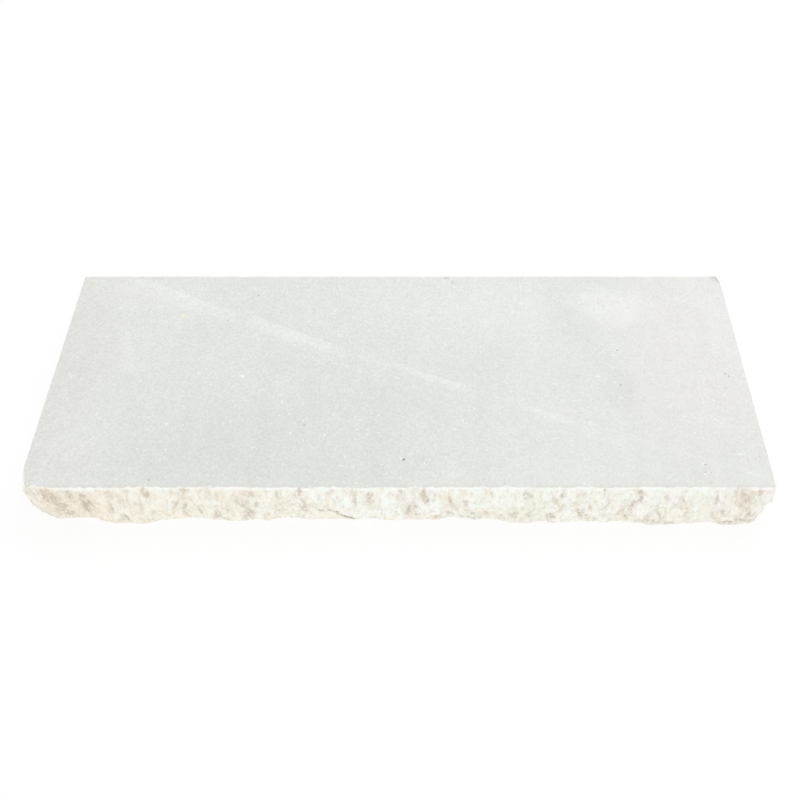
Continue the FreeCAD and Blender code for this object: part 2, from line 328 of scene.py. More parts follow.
class Break:
    """The broken front as a grid of points: its relief, its stains and painted shade, and how bruised and
    smooth it is.
    """

    def __init__(self):
        across = np.linspace(-HALF, HALF, round(2.0 * HALF / COLUMN_STEP) + 1)
        low_rows = np.arange(0.0, TOP - ARRIS_ROWS[-1] - 0.5 * ROW_STEP, ROW_STEP)
        up = np.concatenate((low_rows, TOP - np.array(ARRIS_ROWS[::-1]), [TOP]))
        self.x, self.z = np.meshgrid(across, up, indexing="ij")
        self.below = TOP - self.z
        self.proud = self.softened_front()
        self.relief = self.chips_and_grain()
        self.stain, self.bruise = np.zeros(self.x.shape), np.zeros(self.x.shape)
        self.press_hollows()
        self.whiten_bruises()
        self.open_crack()
        self.calm_patches()
        self.whiten_spall()
        self.trim_toe()
        self.join_relief()

    def softened_front(self):
        """How far the model's front stands forward, with its facets warped and blurred."""
        wave, shift = WARP
        under_edge, over_bed, from_ends = WARP_FADES
        held = smooth_step(self.below, 0.0, under_edge) * smooth_step(self.z, 0.0, over_bed)
        held *= smooth_step(HALF - abs(self.x), 0.0, from_ends)
        shift_x, shift_z = (shift * held * noise(self.x, self.z, wave, seed) for seed in WARP_SEEDS)
        base = rays_onto_model(self.x + shift_x, self.z + shift_z)
        above_toe = smooth_step(self.z, *TOE_HEIGHTS)
        soft = above_toe * blur(base, BASE_SOFTENING / COLUMN_STEP)
        soft += (1.0 - above_toe) * blur(base, TOE_SOFTENING / COLUMN_STEP)
        softened = smooth_step(self.below, 0.0, UNSOFTENED_EDGE)
        return PITCH_LINE - (softened * soft + (1.0 - softened) * base)

    def chips_and_grain(self):
        short_z = self.z / RELIEF_STRETCH
        relief = dished_chips(self.x, short_z, *LARGE_CHIPS, LARGE_CHIP_SEED)
        relief += dished_chips(self.x, short_z, *SMALL_CHIPS, SMALL_CHIP_SEED)
        relief += GRAIN_RELIEF[1] * noise(self.x, short_z, GRAIN_RELIEF[0], GRAIN_SEED)
        return relief * (TOE_RELIEF + (1.0 - TOE_RELIEF) * smooth_step(self.z, 0.0, TOE_RELIEF_HEIGHT))

    def press_hollows(self):
        for number, (*place, strength) in enumerate(HOLLOWS + stray_hollows()):
            spot = strength * patch(self.x, self.z, *place, FIRST_HOLLOW_SEED + 2 * number)
            self.relief -= HOLLOW_DEPTH * spot
            self.stain = np.maximum(self.stain, spot)

    def whiten_bruises(self):
        for number, place in enumerate(BRUISES):
            spot = patch(self.x, self.z, *place, FIRST_BRUISE_SEED + 2 * number)
            self.bruise = np.maximum(self.bruise, spot)

    def open_crack(self):
        """The crack, and the smooth sliver of stone between it and the bed."""
        wave, along, up = CRACK_WANDER
        bend_x, bend_z = (noise(self.x, self.z, wave, seed) for seed in CRACK_SEEDS)
        crack = crack_opening(self.x + along * bend_x, self.z + up * bend_z)
        course, heights = [row[0] for row in CRACK], [row[1] for row in CRACK]
        under_crack = np.interp(self.x, course, heights, left=0.0, right=0.0) - self.z
        sliver = smooth_step(under_crack, 0.0, SLIVER_EDGE)
        sliver *= smooth_step(self.x, *(course[0] + step for step in SLIVER_START))
        self.relief *= 1.0 - (1.0 - SLIVER_RELIEF) * sliver
        self.relief -= CRACK_DEPTH * crack
        self.relief += SLIVER_PROUD * sliver
        self.stain = np.maximum(self.stain * (1.0 - sliver), CRACK_SHADE_LEVEL * crack)
        self.smooth = sliver

    def calm_patches(self):
        for number, place in enumerate(SMOOTH_PATCHES):
            calm = patch(self.x, self.z, *place, FIRST_SMOOTH_SEED + 2 * number)
            self.relief *= 1.0 - (1.0 - SMOOTH_RELIEF) * calm
            self.stain *= 1.0 - (1.0 - SMOOTH_STAIN) * calm
            self.smooth = np.maximum(self.smooth, calm)

    def whiten_spall(self):
        along = smooth_step(self.x, *(step - HALF for step in SPALL_ALONG))
        beside_spall = np.maximum(along, smooth_step(self.below, *SPALL_DOWN))
        self.relief *= SPALL_RELIEF + (1.0 - SPALL_RELIEF) * beside_spall
        self.stain *= beside_spall
        # Painted light: the scar is whiter than any bruise, partly its fresh colour and partly for the
        # little light its left-facing facet gets
        self.bruise = np.maximum(self.bruise, SCAR_AND_LIGHT_LEVEL * (1.0 - beside_spall))

    def trim_toe(self):
        for at_x, at_z, width, height, back in TRIMS:
            oval = ((self.x - at_x) / (0.5 * width)) ** 2 + ((self.z - at_z) / (0.5 * height)) ** 2
            self.relief -= back * np.clip(1.0 - oval, 0.0, 1.0)

    def join_relief(self):
        """The relief dies out towards the struck edge, where only the edge's own chips show."""
        chip = np.zeros(self.x.shape)
        for at_x, length, back in ARRIS_CHIPS:
            arc = 1.0 - ((self.x - at_x) / (0.5 * length)) ** 2
            chip = np.maximum(chip, back * np.clip(arc, 0.0, 1.0))
        wave, reach = CHIP_RAGGEDNESS
        chip *= 1.0 + reach * noise(self.x, self.z, wave, CHIP_EDGE_SEED)
        waver = ARRIS_WAVER * sum(
            strength * noise(self.x, 0.0 * self.z, wave, FIRST_WAVER_SEED + number)
            for number, (wave, strength) in enumerate(ARRIS_WAVES)
        )
        near_edge = 1.0 - smooth_step(self.below, 0.0, ARRIS_REACH)
        self.proud += self.relief * smooth_step(self.below, *RELIEF_FADE)
        self.proud -= (chip + waver - ARRIS_PROUD) * near_edge

    def points(self):
        return np.stack((self.x, PITCH_LINE - self.proud, self.z), axis=-1)

    def values(self):
        # How much hollower each point lies than the stone round it; the material paints shade there from it
        around = blur(self.proud, HOLLOW_REACH / COLUMN_STEP)
        hollow = np.clip((around - self.proud) / HOLLOW_FULL, -1.0, 1.0)
        return {"hollow": hollow, "stain": self.stain, "bruise": self.bruise, "smooth": self.smooth}


class Skin:
    """Points, triangles and values of one closed mesh, gathered face by face."""

    def __init__(self):
        self.points, self.faces, self.sides = [], [], []
        self.values = {name: [] for name in ("hollow", "stain", "bruise", "smooth", "pit")}

    def add(self, point, **values):
        self.points.append(tuple(point))
        for name, kept in self.values.items():
            kept.append(float(values.get(name, 0.0)))
        return len(self.points) - 1

    def add_face(self, corners, side):
        self.faces.append(corners)
        self.sides.append(side)


def worn(point, edge_inwards, seed):
    """A point of a sawn edge, rubbed in towards the stone by a little that varies along the edge."""
    x, y, z = point
    run = x + 1.7 * y + 2.3 * z
    wave, waver = WEAR_WAVER
    share = EVEN_WEAR + waver * noise(run, 0.0, wave, seed)
    wave, strength, onset = WEAR_NICKS
    share += strength * max(0.0, float(noise(run, 0.0, wave, seed + 1)) - onset)
    amount = EDGE_WEAR * float(np.clip(share, *WEAR_RANGE))
    return knocked(tuple(c + amount * step for c, step in zip(point, edge_inwards)))


def knocked(point):
    """The point, or its place on the chip off the back right corner of the top if it lay beyond it."""
    along_end, along_back, down = BACK_RIGHT_CHIP
    normal = Vector((1.0 / along_back, 1.0 / along_end, 1.0 / down))
    corner = Vector((HALF, BACK, TOP))
    beyond = 1.0 + (Vector(point) - corner).dot(normal)
    if beyond <= 0.0:
        return point
    return tuple(Vector(point) - normal * (beyond / normal.length_squared))


def edge_points(skin, start, end, inwards, seed):
    """Points along one sawn edge, without its two ends."""
    start, end = Vector(start), Vector(end)
    count = max(2, round((end - start).length / EDGE_GAP))
    made = []
    for k in range(1, count):
        made.append(skin.add(worn(start.lerp(end, k / count), inwards, seed)))
    return made


def spread(low, high, step):
    """Even places from one limit to the other, about one step apart."""
    return np.linspace(low, high, max(2, round((high - low) / step) + 1))


def face_rows(first, growth, widest, length):
    """Distances from an edge that grow apart, up to this length."""
    gap, at = first, first
    rows = []
    while at < length - 0.7 * gap:
        rows.append((at, gap))
        gap = min(widest, gap * growth)
        at += gap
    return rows


def fill_face(skin, loop, inner, flat, outward, side):
    """Triangles over a sawn face, through the points of its outline and the inner ones."""
    ids = loop + inner
    spots = [Vector((skin.points[k][flat[0]], skin.points[k][flat[1]])) for k in ids]
    spots, _, triangles, origins, _, _ = delaunay_2d_cdt(spots, [], [list(range(len(loop)))], 1, 1e-5)
    for triangle in triangles:
        corners = [ids[origins[k][0]] for k in triangle]
        a, b, c = (Vector(skin.points[k]) for k in corners)
        if (b - a).cross(c - a).dot(outward) < 0.0:
            corners.reverse()
        skin.add_face(corners, side)


def top_inner_points(skin, arris):
    """Inner points of the top: rows that open out from the struck edge, and its pits."""
    dice = np.random.default_rng(STRAY_PIT_SEED)
    pits = list(PITS)
    side, depth_in = HALF - STRAY_PIT_MARGIN, STRAY_PIT_MARGIN
    for _ in range(STRAY_PITS):
        x, y = dice.uniform(-side, side), dice.uniform(PITCH_LINE + depth_in, BACK - depth_in)
        pits.append((x, y, dice.uniform(*STRAY_PIT_RADIUS), dice.uniform(*STRAY_PIT_DEPTH)))
    edge_x, edge_y = ([skin.points[k][axis] for k in arris] for axis in (0, 1))
    made = []
    for distance, gap in face_rows(*TOP_ROWS, BACK - PITCH_LINE):
        for x in spread(-HALF + TOP_MARGIN, HALF - TOP_MARGIN, gap):
            y = distance + float(np.interp(x, edge_x, edge_y))
            if y > BACK - 2.0 or knocked((x + 1.5, y + 1.5, TOP)) != (x + 1.5, y + 1.5, TOP):
                continue
            if all(math.hypot(x - p[0], y - p[1]) > PIT_CLEARANCE * p[2] for p in pits):
                made.append(skin.add((x, y, TOP)))
    for pit in pits:
        made += pit_points(skin, dice, *pit)
    return made


def pit_points(skin, dice, x, y, radius, depth):
    """The bottom of one pit and the ragged rings round it."""
    # Each point of a pit carries its depth, from which the material paints shade in the pit
    made = [skin.add((x, y, TOP - depth), pit=min(1.0, depth))]
    for share, sunk in PIT_RINGS:
        drop = sunk * depth
        for k in range(PIT_SIDES):
            turn = 2.0 * math.pi * (k + 0.5 * share) / PIT_SIDES + x
            reach = radius * share * dice.uniform(*RAGGED_RING)
            spot = (x + reach * math.cos(turn), y + reach * math.sin(turn), TOP - drop)
            made.append(skin.add(spot, pit=min(1.0, drop)))
    return made


def plain_inner_points(skin, flat, across, up, fixed, gap):
    """Inner points of a face that nobody has marked: an even grid over its two flat axes."""
    made = []
    for u in spread(*across, gap):
        for v in spread(*up, gap):
            spot = [fixed, fixed, fixed]
            spot[flat[0]], spot[flat[1]] = u, v
            made.append(skin.add(knocked(tuple(spot))))
    return made


def add_break(skin):
    """The break's points and triangles. Gives its points' numbers, by column and row."""
    front = Break()
    points, values = front.points(), front.values()
    ids = np.empty(points.shape[:2], int)
    for spot in np.ndindex(ids.shape):
        ids[spot] = skin.add(points[spot], **{name: kept[spot] for name, kept in values.items()})
    for i, j in np.ndindex(ids.shape[0] - 1, ids.shape[1] - 1):
        a, b, c, d = ids[i, j], ids[i + 1, j], ids[i + 1, j + 1], ids[i, j + 1]
        for corners in ((a, b, c), (a, c, d)) if (i + j) % 2 else ((a, b, d), (b, c, d)):
            skin.add_face(corners, "break")
    return ids


def sawn_edges(skin, ids):
    """Back corners, and points along the sawn edges from the back, the left or the bed, by name."""
    made = {}
    for name, x, z in (("bl", -HALF, 0.0), ("br", HALF, 0.0), ("tl", -HALF, TOP), ("tr", HALF, TOP)):
        inwards = (-math.copysign(1.0, x), -1.0, 1.0 if z == 0.0 else -1.0)
        made[name] = [skin.add(worn((x, BACK, z), inwards, CORNER_SEED))]
    runs = (
        ("top_left", -HALF, None, TOP),
        ("top_right", HALF, None, TOP),
        ("bed_left", -HALF, None, 0.0),
        ("bed_right", HALF, None, 0.0),
        ("top_back", None, BACK, TOP),
        ("bed_back", None, BACK, 0.0),
        ("up_left", -HALF, BACK, None),
        ("up_right", HALF, BACK, None),
    )
    for number, (name, *kept) in enumerate(runs):
        x, y, z = kept
        front = skin.points[ids[-1 if x == HALF else 0, 0 if z == 0.0 else -1]][1]
        ends = zip(kept, (-HALF, BACK, 0.0), (HALF, front, TOP))
        start, end = zip(*((low, high) if place is None else (place, place) for place, low, high in ends))
        # An edge wears only across itself, towards the middle of the stone
        inwards = (
            0.0 if x is None else -math.copysign(SLANT, x),
            0.0 if y is None else -SLANT,
            0.0 if z is None else SLANT if z == 0.0 else -SLANT,
        )
        made[name] = edge_points(skin, start, end, inwards, FIRST_EDGE_SEED + 2 * number)
    return made


def add_sawn_faces(skin, ids, edge):
    """Top, bed, back and the two ends, each inside a closed run of points."""
    toe, arris = ids[:, 0].tolist(), ids[:, -1].tolist()
    along, up = (-HALF + FACE_MARGIN, HALF - FACE_MARGIN), (FACE_MARGIN, TOP - FACE_MARGIN)

    inner = top_inner_points(skin, arris)
    loop = arris + edge["top_right"][::-1] + edge["tr"]
    loop += edge["top_back"][::-1] + edge["tl"] + edge["top_left"]
    fill_face(skin, loop, inner, (0, 1), Vector((0, 0, 1)), "top")

    deep = (max(skin.points[k][1] for k in toe) + FACE_MARGIN, BACK - FACE_MARGIN)
    inner = plain_inner_points(skin, (0, 1), along, deep, 0.0, BED_GAP)
    loop = toe + edge["bed_right"][::-1] + edge["br"]
    loop += edge["bed_back"][::-1] + edge["bl"] + edge["bed_left"]
    fill_face(skin, loop, inner, (0, 1), Vector((0, 0, -1)), "bed")

    inner = plain_inner_points(skin, (0, 2), along, up, BACK, SIDE_GAP)
    loop = edge["bl"] + edge["bed_back"] + edge["br"] + edge["up_right"]
    loop += edge["tr"] + edge["top_back"][::-1] + edge["tl"] + edge["up_left"][::-1]
    fill_face(skin, loop, inner, (0, 2), Vector((0, 1, 0)), "back")

    for x, column, side in ((-HALF, ids[0], "left"), (HALF, ids[-1], "right")):
        front = column.tolist()
        deep = (max(skin.points[k][1] for k in front) + FACE_MARGIN, BACK - FACE_MARGIN)
        inner = plain_inner_points(skin, (1, 2), deep, up, x, SIDE_GAP)
        loop = front + edge["top_" + side][::-1] + edge["t" + side[0]]
        loop += edge["up_" + side][::-1] + edge["b" + side[0]] + edge["bed_" + side]
        fill_face(skin, loop, inner, (1, 2), Vector((x, 0, 0)), "end")


def build_stone():
    """One closed mesh for the whole stone."""
    skin = Skin()
    ids = add_break(skin)
    add_sawn_faces(skin, ids, sawn_edges(skin, ids))
    return skin


def stone_object():
    skin = build_stone()
    mesh = bpy.data.meshes.new("pitched_coping_stone")
    mesh.from_pydata([tuple(c * MM for c in point) for point in skin.points], [], skin.faces)
    for name, kept in skin.values.items():
        mesh.attributes.new(name, "FLOAT", "POINT").data.foreach_set("value", kept)
    split = [float(side == "break") for side in skin.sides]
    mesh.attributes.new("split", "FLOAT", "FACE").data.foreach_set("value", split)
    shape = bmesh.new()
    shape.from_mesh(mesh)
    for face in shape.faces:
        face.smooth = True
    for edge in shape.edges:
        one, other = edge.link_faces
        same_side = skin.sides[one.index] == skin.sides[other.index]
        edge.smooth = same_side and edge.calc_face_angle() < SHARP_ANGLE
    shape.to_mesh(mesh)
    shape.free()
    return placed("pitched_coping_stone", mesh)


def placed(name, data):
    """A new object with this data, in the scene."""
    made = bpy.data.objects.new(name, data)
    bpy.context.scene.collection.objects.link(made)
    return made


# Materials

def linear(red, green, blue):
    """A colour as read off a picture, 0 to 255, as the light that it stands for."""
    shares = (value / 255.0 for value in (red, green, blue))
    return tuple(s / 12.92 if s < 0.04045 else ((s + 0.055) / 1.055) ** 2.4 for s in shares) + (1.0,)


# Stretch of the noise: grains are a little longer across the sawn faces, and upright on the break
SAWN_GRAIN_STRETCH = (1.0, 0.75, 0.75)
UPRIGHT = (1.0, 1.0, 0.44)
TALL = (1.0, 0.2, 0.2)  # gaps in the crushed band, which run up and down
ACROSS = (1.0, 0.06, 0.06)  # faint bands right across the sawn faces
GRAIN_STRENGTH = ((-300, 1.0), (50, 1.0), (200, 0.72), (300, 0.72))  # of the sawn faces, along the stone


class Tree:
    """A material's or world's nodes. An input is a number, a colour or another node's output."""

    def __init__(self, owner):
        owner.use_nodes = True
        self.nodes, self.links = owner.node_tree.nodes, owner.node_tree.links
        self.nodes.clear()

    def node(self, kind, inputs, **settings):
        made = self.nodes.new("ShaderNode" + kind)
        for name, value in settings.items():
            setattr(made, name, value)
        for key, value in inputs.items():
            if isinstance(value, bpy.types.NodeSocket):
                self.links.new(value, made.inputs[key])
            else:
                made.inputs[key].default_value = value
        return made

    def add(self, kind, inputs, output=0, **settings):
        return self.node(kind, inputs, **settings).outputs[output]

    def maths(self, operation, a, b=0.0, c=0.0):
        return self.add("Math", {0: a, 1: b, 2: c}, operation=operation)

    def product(self, *values):
        result = values[0]
        for value in values[1:]:
            result = self.maths("MULTIPLY", result, value)
        return result

    def vector(self, operation, first, second=(0.0, 0.0, 0.0), output=0):
        inputs = {0: first, 1: second}
        return self.add("VectorMath", inputs, operation=operation, output=output)

    def axis(self, place, name):
        return self.add("SeparateXYZ", {0: place}, output=name)

    def line(self, value, slope, start):
        return self.maths("MULTIPLY_ADD", value, slope, start)

    def between(self, value, low, high, to_low=0.0, to_high=1.0):
        """The value's place between two limits, eased at both."""
        inputs = {"Value": value, "From Min": low, "From Max": high, "To Min": to_low, "To Max": to_high}
        return self.add("MapRange", inputs, interpolation_type="SMOOTHSTEP")

    def blend(self, share, first, second, blend_type="MIX"):
        inputs = {0: share, 6: first, 7: second}
        return self.add("Mix", inputs, data_type="RGBA", blend_type=blend_type, output=2)

    def tint(self, colour, tone, *shares):
        """The colour with a tone over it, as strong as the product of the shares."""
        return self.blend(self.product(*shares), colour, linear(*tone))

    def scaled(self, colour, factor):
        inputs = {0: colour, "Scale": factor}
        return self.add("VectorMath", inputs, operation="SCALE")

    def bump(self, height, strength, depth):
        inputs = {"Strength": strength, "Distance": depth * MM, "Height": height}
        return self.add("Bump", inputs)

    def noise(self, place, size, detail=2.0, roughness=0.5, stretch=(1.0, 1.0, 1.0)):
        """Noise from about 0 to 1, with blotches of this size in millimetres."""
        spots = self.vector("MULTIPLY", place, stretch)
        inputs = {"Vector": spots, "Scale": 0.5 / (size * MM), "Detail": detail, "Roughness": roughness}
        return self.add("TexNoise", inputs)

    def strayed(self, place, size, reach):
        """The place moved about by a soft noise, so that the grain doesn't run straight."""
        inputs = {"Vector": place, "Scale": 0.5 / (size * MM), "Detail": 1.0}
        drift = self.add("TexNoise", inputs, output="Color")
        inputs = {0: drift, 1: (reach * MM, reach * MM, reach * MM), 2: place}
        return self.add("VectorMath", inputs, operation="MULTIPLY_ADD")

    def ramp(self, value, stops):
        """Colour, or a number if the stops have numbers, along a run of places in millimetres."""
        low, high = stops[0][0] * MM, stops[-1][0] * MM
        inputs = {"Value": value, "From Min": low, "From Max": high}
        share = self.add("MapRange", inputs)
        made = self.node("ValToRGB", {0: share})
        elements = made.color_ramp.elements
        for number, (at, colour) in enumerate(stops):
            if number in (0, len(stops) - 1):
                element = elements[0 if number == 0 else -1]
            else:
                element = elements.new((at * MM - low) / (high - low))
            element.color = colour if isinstance(colour, tuple) else (colour, colour, colour, 1.0)
        return made.outputs[0]

    def value_of(self, name):
        return self.add("Attribute", {}, attribute_name=name, output="Fac")


# Tones of the sawn faces, as in the picture
SAWN_TONES = ((228, 230, 226), (232.5, 234, 230.5))
SAW_MARK_TONE = (241, 242.5, 239.5)
PALE_SPECK_TONE, DARK_SPECK_TONE = (245, 247, 244), (212, 213, 208)
ROSY, GREENISH = (1.0, 0.985, 0.985, 1.0), (0.985, 1.0, 0.99, 1.0)
# Painted shade: the dark line along the top just behind the struck edge
EDGE_SHADE_TONE = (222, 220, 212)
EDGE_SHADE_REACH = (0.8, 3.0)  # the painted edge shade fades out between these distances from the pitch line
# Painted shade in the pits of the top, darker the deeper they go
PIT_SHADE_TONE = (140, 137, 126)
MARKS_FADE = (8, 3)  # the marks of the top fade out between these depths below it

# The saw's pale streaks on the top: start, end, how far they reach sideways from their sharp edge,
# and how strong they are along the way in millimetres
SAW_MARKS = (
    ((-252, 126), (-144, 71), 26, ((0, 0.2), (14, 0.65), (70, 0.7), (105, 0.45), (121, 0.0))),
    ((-140, 72), (-36, 23), 22, ((0, 0.0), (10, 0.55), (54, 0.85), (78, 0.65), (115, 0.0))),
    ((-24, 20), (58, -18), 11, ((0, 0.0), (25, 0.35), (60, 0.65), (82, 0.65), (90, 0.0))),
    ((50, -15), (112, -40), 7, ((0, 0.25), (67, 0.25))),
    ((104, -35), (190, -83), 11, ((0, 0.0), (10, 0.45), (50, 0.45), (80, 0.3), (98, 0.0))),
    ((-243, 50), (-229, -4), 14, ((0, 0.0), (20, 0.4), (45, 0.4), (56, 0.0))),
)

# Clouds on the top: x, y, half width, half depth, lean in degrees, strength, colour as in the picture
CLOUDS = (
    (-40, -70, 150, 80, 5, 0.45, (223, 226, 219.5)),
    (-150, -95, 120, 60, 0, 0.45, (223, 225, 219)),
    (80, 75, 80, 60, -15, 0.6, (234, 236.5, 231.5)),
    (262, 30, 80, 160, 0, 0.9, (235, 234, 232)),
    (298, 60, 36, 90, 8, 0.7, (239, 239, 239)),
    (196, 84, 44, 30, -12, 0.75, (242, 243, 241)),
    (95, 80, 40, 40, -30, 0.35, (239, 240, 238)),
    (166, 42, 16, 54, 24, 0.4, (223, 226, 223)),
    (188, -18, 18, 34, 10, 0.5, (223, 225, 220)),
    (-300, 10, 60, 120, 0, 0.4, (227, 225, 221)),
    (-255, 100, 40, 26, -20, 0.5, (234, 234.5, 231)),
    (-283, -106, 48, 34, 0, 0.6, (231, 230, 228.5)),
    (128, -108, 50, 18, 0, 0.6, (232, 235.5, 234)),
    (188, -100, 34, 16, 0, 0.4, (228, 233, 232)),
    (299, 124, 8, 9, 0, 0.6, (206, 196, 172)),
    (48.5, 116, 4, 5, -30, 0.5, (214, 216, 208)),
)

# Pale grains in the sawn top: x, y, radius, colour as in the picture
PALE_GRAINS = (
    (-136, -5, 2.1, (254, 255, 250)),
    (2.8, -95.7, 1.2, (254, 255, 252)),
    (246, -101, 1.3, (246, 247, 240)),
    (246, -112, 1.3, (248, 249, 245)),
    (-199, 71, 2.6, (243, 243, 222)),
    (148, -121.7, 1.8, (244, 247, 244)),
    (151.5, -123, 1.4, (246, 246, 241)),
    (-263, 43, 1.2, (246, 247, 243)),
)


def saw_mark(tree, place, start, end, reach, strengths):
    """Share of paleness from one streak: sharp on one side, fading over its reach on the other."""
    length = math.dist(start, end)
    along = ((end[0] - start[0]) / length, (end[1] - start[1]) / length, 0.0)
    across = (-along[1], along[0], 0.0)
    origin = (start[0] * MM, start[1] * MM, 0.0)
    offset = tree.vector("SUBTRACT", place, origin)
    run = tree.vector("DOT_PRODUCT", offset, along, "Value")
    side = tree.vector("DOT_PRODUCT", offset, across, "Value")
    wander = tree.line(tree.noise(place, 16.0), 5.0 * MM, -2.5 * MM)
    side = tree.maths("ADD", side, wander)
    fade = tree.between(side, -reach * MM, 0.0)
    sharp = tree.between(side, -0.5 * MM, 1.8 * MM, 1.0, 0.0)
    patchy = tree.between(tree.noise(place, 9.0, 3.0, 0.6), 0.3, 0.6, 0.6, 1.0)
    return tree.product(fade, sharp, tree.ramp(run, strengths), patchy)


def cloud(tree, place, x, y, half_width, half_depth, lean, strength):
    """Share of one soft oval cloud with a ragged edge."""
    inputs = {
        "Vector": place,
        "Location": (x * MM, y * MM, 0.0),
        "Rotation": (0.0, 0.0, math.radians(lean)),
        "Scale": (half_width * MM, half_depth * MM, 1.0),
    }
    oval = tree.add("Mapping", inputs, vector_type="TEXTURE")
    distance = tree.vector("LENGTH", oval, output="Value")
    blotches = tree.noise(place, 0.35 * min(half_width, half_depth), 4.0, 0.6)
    ragged = tree.line(blotches, 1.1, -0.55)
    return tree.between(tree.maths("ADD", distance, ragged), 0.35, 1.15, strength, 0.0)


def sawn_colour(tree, place):
    """Grey-white of the sawn faces, with clouds, grain, specks and the saw's pale streaks."""
    broad = tree.between(tree.noise(place, 60.0, 4.0, 0.6), 0.3, 0.7)
    colour = tree.blend(broad, *(linear(*tone) for tone in SAWN_TONES))
    on_top = tree.between(tree.axis(place, "Z"), *((TOP - down) * MM for down in MARKS_FADE))
    for *oval, tone in CLOUDS:
        colour = tree.tint(colour, tone, cloud(tree, place, *oval), on_top)
    for streak in SAW_MARKS:
        colour = tree.tint(colour, SAW_MARK_TONE, saw_mark(tree, place, *streak), on_top)
    mottle = tree.between(tree.noise(place, 6.0, 3.0, 0.6), 0.25, 0.75, 0.985, 1.012)
    grain = tree.between(tree.noise(place, 1.0, 2.0, 0.5, SAWN_GRAIN_STRETCH), 0.25, 0.75, 0.945, 1.047)
    calm = tree.ramp(tree.axis(place, "X"), GRAIN_STRENGTH)
    grain = tree.line(tree.maths("SUBTRACT", grain, 1.0), calm, 1.0)
    bands = tree.between(tree.noise(place, 7.0, 3.0, 0.6, ACROSS), 0.3, 0.7, 0.99, 1.008)
    colour = tree.scaled(colour, tree.product(mottle, bands, grain))
    warm = tree.between(tree.noise(place, 1.4, 2.0), 0.35, 0.65)
    colour = tree.blend(0.5, colour, tree.blend(warm, ROSY, GREENISH), "MULTIPLY")
    specks = tree.noise(place, 1.2, 0.0, 0.5, SAWN_GRAIN_STRETCH)
    colour = tree.tint(colour, PALE_SPECK_TONE, tree.between(specks, 0.72, 0.84, 0.0, 0.7))
    colour = tree.tint(colour, DARK_SPECK_TONE, tree.between(specks, 0.16, 0.28, 0.4, 0.0))
    for x, y, radius, tone in PALE_GRAINS:
        colour = tree.tint(colour, tone, cloud(tree, place, x, y, radius, radius, 0.0, 1.0), on_top)
    return colour


# Tones of the broken face along the stone, as in the picture: ground, soft tan blotches, pale grains
BREAK_TONES = (
    (-300, (240.5, 235, 223.5), (225, 215, 198.5), (245, 243, 234)),
    (-240, (241.5, 236, 224), (227, 217.5, 201), (245.5, 244, 235.5)),
    (-205, (243.5, 240.5, 230), (234, 228.5, 212), (242, 248, 241)),
    (-90, (243.5, 241, 231), (234, 229, 212), (240, 249.5, 246)),
    (-60, (244.5, 243.5, 237), (234, 229, 212), (240, 249.5, 246.5)),
    (264, (244.5, 243, 236.5), (234, 229, 212), (240, 249.5, 246.5)),
    (271, (242, 238, 228.5), (231, 222.5, 207), (242, 247, 242)),
    (284, (242, 238, 228.5), (231, 222.5, 207), (242, 247, 242)),
    (292, (244.5, 242, 234), (234, 228, 212), (242, 248, 243)),
    (300, (244.5, 242, 234), (234, 228, 212), (242, 248, 243)),
)

# Tones of what lies on the broken face, and of the shade and light painted on it
BRUISE_TONE = (241.5, 247, 242)
SMOOTH_TONE = (243.5, 239, 226)
SPECKLE_TONE = (221, 210, 191)
# Painted shadows between the grains
GRAIN_SHADOW_TONE = (204, 191, 169)
# Brown of the stains, and of the shade painted where the stone lies hollow
BROWN_TONES = ((198, 185.5, 169.5), (193, 186.5, 173.5))
# Painted shade in the crack
CRACK_SHADE_TONE = (166, 154, 134)
# Painted light: the scar's white is partly its own, partly light painted on a dim facet
SCAR_AND_PAINTED_LIGHT_TONE = (253, 253, 249)
CRUSHED_TONE = (241.5, 245.5, 241)

# White crushed stone under the struck edge: how strong it is along the stone
CRUSHED_BAND = (
    (-300, 0.35), (-262, 0.35), (-257, 1.0), (-233, 0.95), (-229, 0.3), (-214, 0.7),
    (-207, 0.1), (-202, 0.1), (-200, 0.9), (-176, 0.9), (-171, 0.5), (-150, 0.4),
    (-142, 0.75), (-118, 0.7), (-108, 0.6), (-70, 0.6), (0, 0.45), (6, 0.2),
    (14, 0.5), (26, 0.9), (60, 0.8), (110, 0.6), (150, 0.8), (190, 0.95),
    (254, 0.95), (263, 0.4), (268, 0.05), (278, 0.05), (282, 1.0), (300, 1.0),
)


